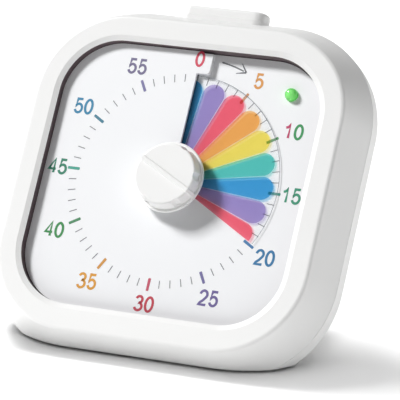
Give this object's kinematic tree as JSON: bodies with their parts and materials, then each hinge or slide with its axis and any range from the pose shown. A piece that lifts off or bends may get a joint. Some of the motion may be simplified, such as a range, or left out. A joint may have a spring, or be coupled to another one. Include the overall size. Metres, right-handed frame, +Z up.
{
  "type": "visual countdown timer",
  "caption": "Desk countdown timer with a screw-shaped numbered dial, a colour disc that rises out of a slot, a finger knob, a lamp and a wide top button.",
  "frame": {"origin": "on the desk, under the middle of the timer's bounding box", "axes": "+Z up, +Y to the back, +X to the right of a person who reads the dial; the dial faces -Y and leans back 33.6 degrees"},
  "size_m": [0.1406, 0.095, 0.1175],
  "materials": {
    "case_white": "satin moulded white plastic",
    "dial_white": "smooth white plastic, printed",
    "film_clear": "clear plastic film with printed colour petals",
    "knob_white": "glossy white plastic",
    "gear_white": "natural acetal",
    "movement_black": "black moulded plastic",
    "steel": "plated steel",
    "copper": "enamelled copper wire",
    "brass": "turned brass",
    "board_green": "green solder mask",
    "lamp_green": "tinted clear resin",
    "cell_wrap": "plain printed sleeve",
    "rubber_grey": "matt rubber",
    "black_plastic": "moulded black plastic"
  },
  "bodies": {
    "case": {"front_housing": "case_white", "rear_cover": "case_white", "dial_plate": "dial_white", "inner_frame": "case_white", "shaft_bush": "brass", "movement_cover": "movement_black", "movement_case": "movement_black", "movement_screws": "steel", "motor_stator": "steel", "motor_coil": "copper", "circuit_board": "board_green", "control_chip": "black_plastic", "slide_switch": "steel", "buzzer": "black_plastic", "led_lamp": "lamp_green", "led_holder": "black_plastic", "button_collar": "case_white", "button_springs": "steel", "key_switch": "black_plastic", "battery_upper": "cell_wrap", "battery_lower": "cell_wrap", "plus_contacts": "steel", "minus_springs": "steel", "rubber_pads": "rubber_grey", "case_screws": "steel"},
    "knob": {"dial_knob": "knob_white", "knob_shaft": "steel", "clutch_washer": "steel"},
    "disc": {"film_disc": "film_clear", "disc_hub": "knob_white"},
    "output": {"output_wheel": "gear_white"},
    "second": {"second_wheel": "gear_white"},
    "rotor": {"motor_rotor": "gear_white"},
    "button": {"button_cap": "knob_white"},
    "switch": {"switch_slider": "black_plastic"},
    "door": {"battery_door": "case_white"}
  },
  "joints": [
    {"name": "knob_turn", "type": "hinge", "parent": "case", "child": "knob", "pos_m": [0, -0.00864, 0.0611], "axis": [0, 0.8329, -0.5534], "range_deg": [-118.8, 241.2]},
    {"name": "disc_rise", "type": "slide", "parent": "knob", "child": "disc", "axis": [0, -0.8329, 0.5534], "range_m": [-0.00073, 0.00148]},
    {"name": "output_turn", "type": "hinge", "parent": "case", "child": "output", "pos_m": [0, -0.00031, 0.05557], "axis": [0, 0.8329, -0.5534], "range_deg": [-180, 180]},
    {"name": "second_turn", "type": "hinge", "parent": "case", "child": "second", "pos_m": [0, -0.00916, 0.04224], "axis": [0, 0.8329, -0.5534], "range_deg": [-541, 541]},
    {"name": "rotor_turn", "type": "hinge", "parent": "case", "child": "rotor", "pos_m": [0.0136, -0.0075, 0.04113], "axis": [0, 0.8329, -0.5534], "range_deg": [-1297, 1297]},
    {"name": "button_press", "type": "slide", "parent": "case", "child": "button", "axis": [0, -0.5534, -0.8329], "range_m": [0, 0.0015], "stiffness_N_per_m": 500, "springref_m": -0.002, "deforming": ["button_springs"]},
    {"name": "switch_slide", "type": "slide", "parent": "case", "child": "switch", "axis": [1, 0, 0], "range_m": [0, 0.004]},
    {"name": "door_slide", "type": "slide", "parent": "case", "child": "door", "axis": [0, 0.5534, 0.8329], "range_m": [0, 0.034]}
  ],
  "couplings": [
    {"joint": "disc_rise", "follows": "knob_turn", "m_per_rad": 0.00035014},
    {"joint": "second_turn", "follows": "output_turn", "ratio": -3},
    {"joint": "rotor_turn", "follows": "output_turn", "ratio": 7.2}
  ]
}
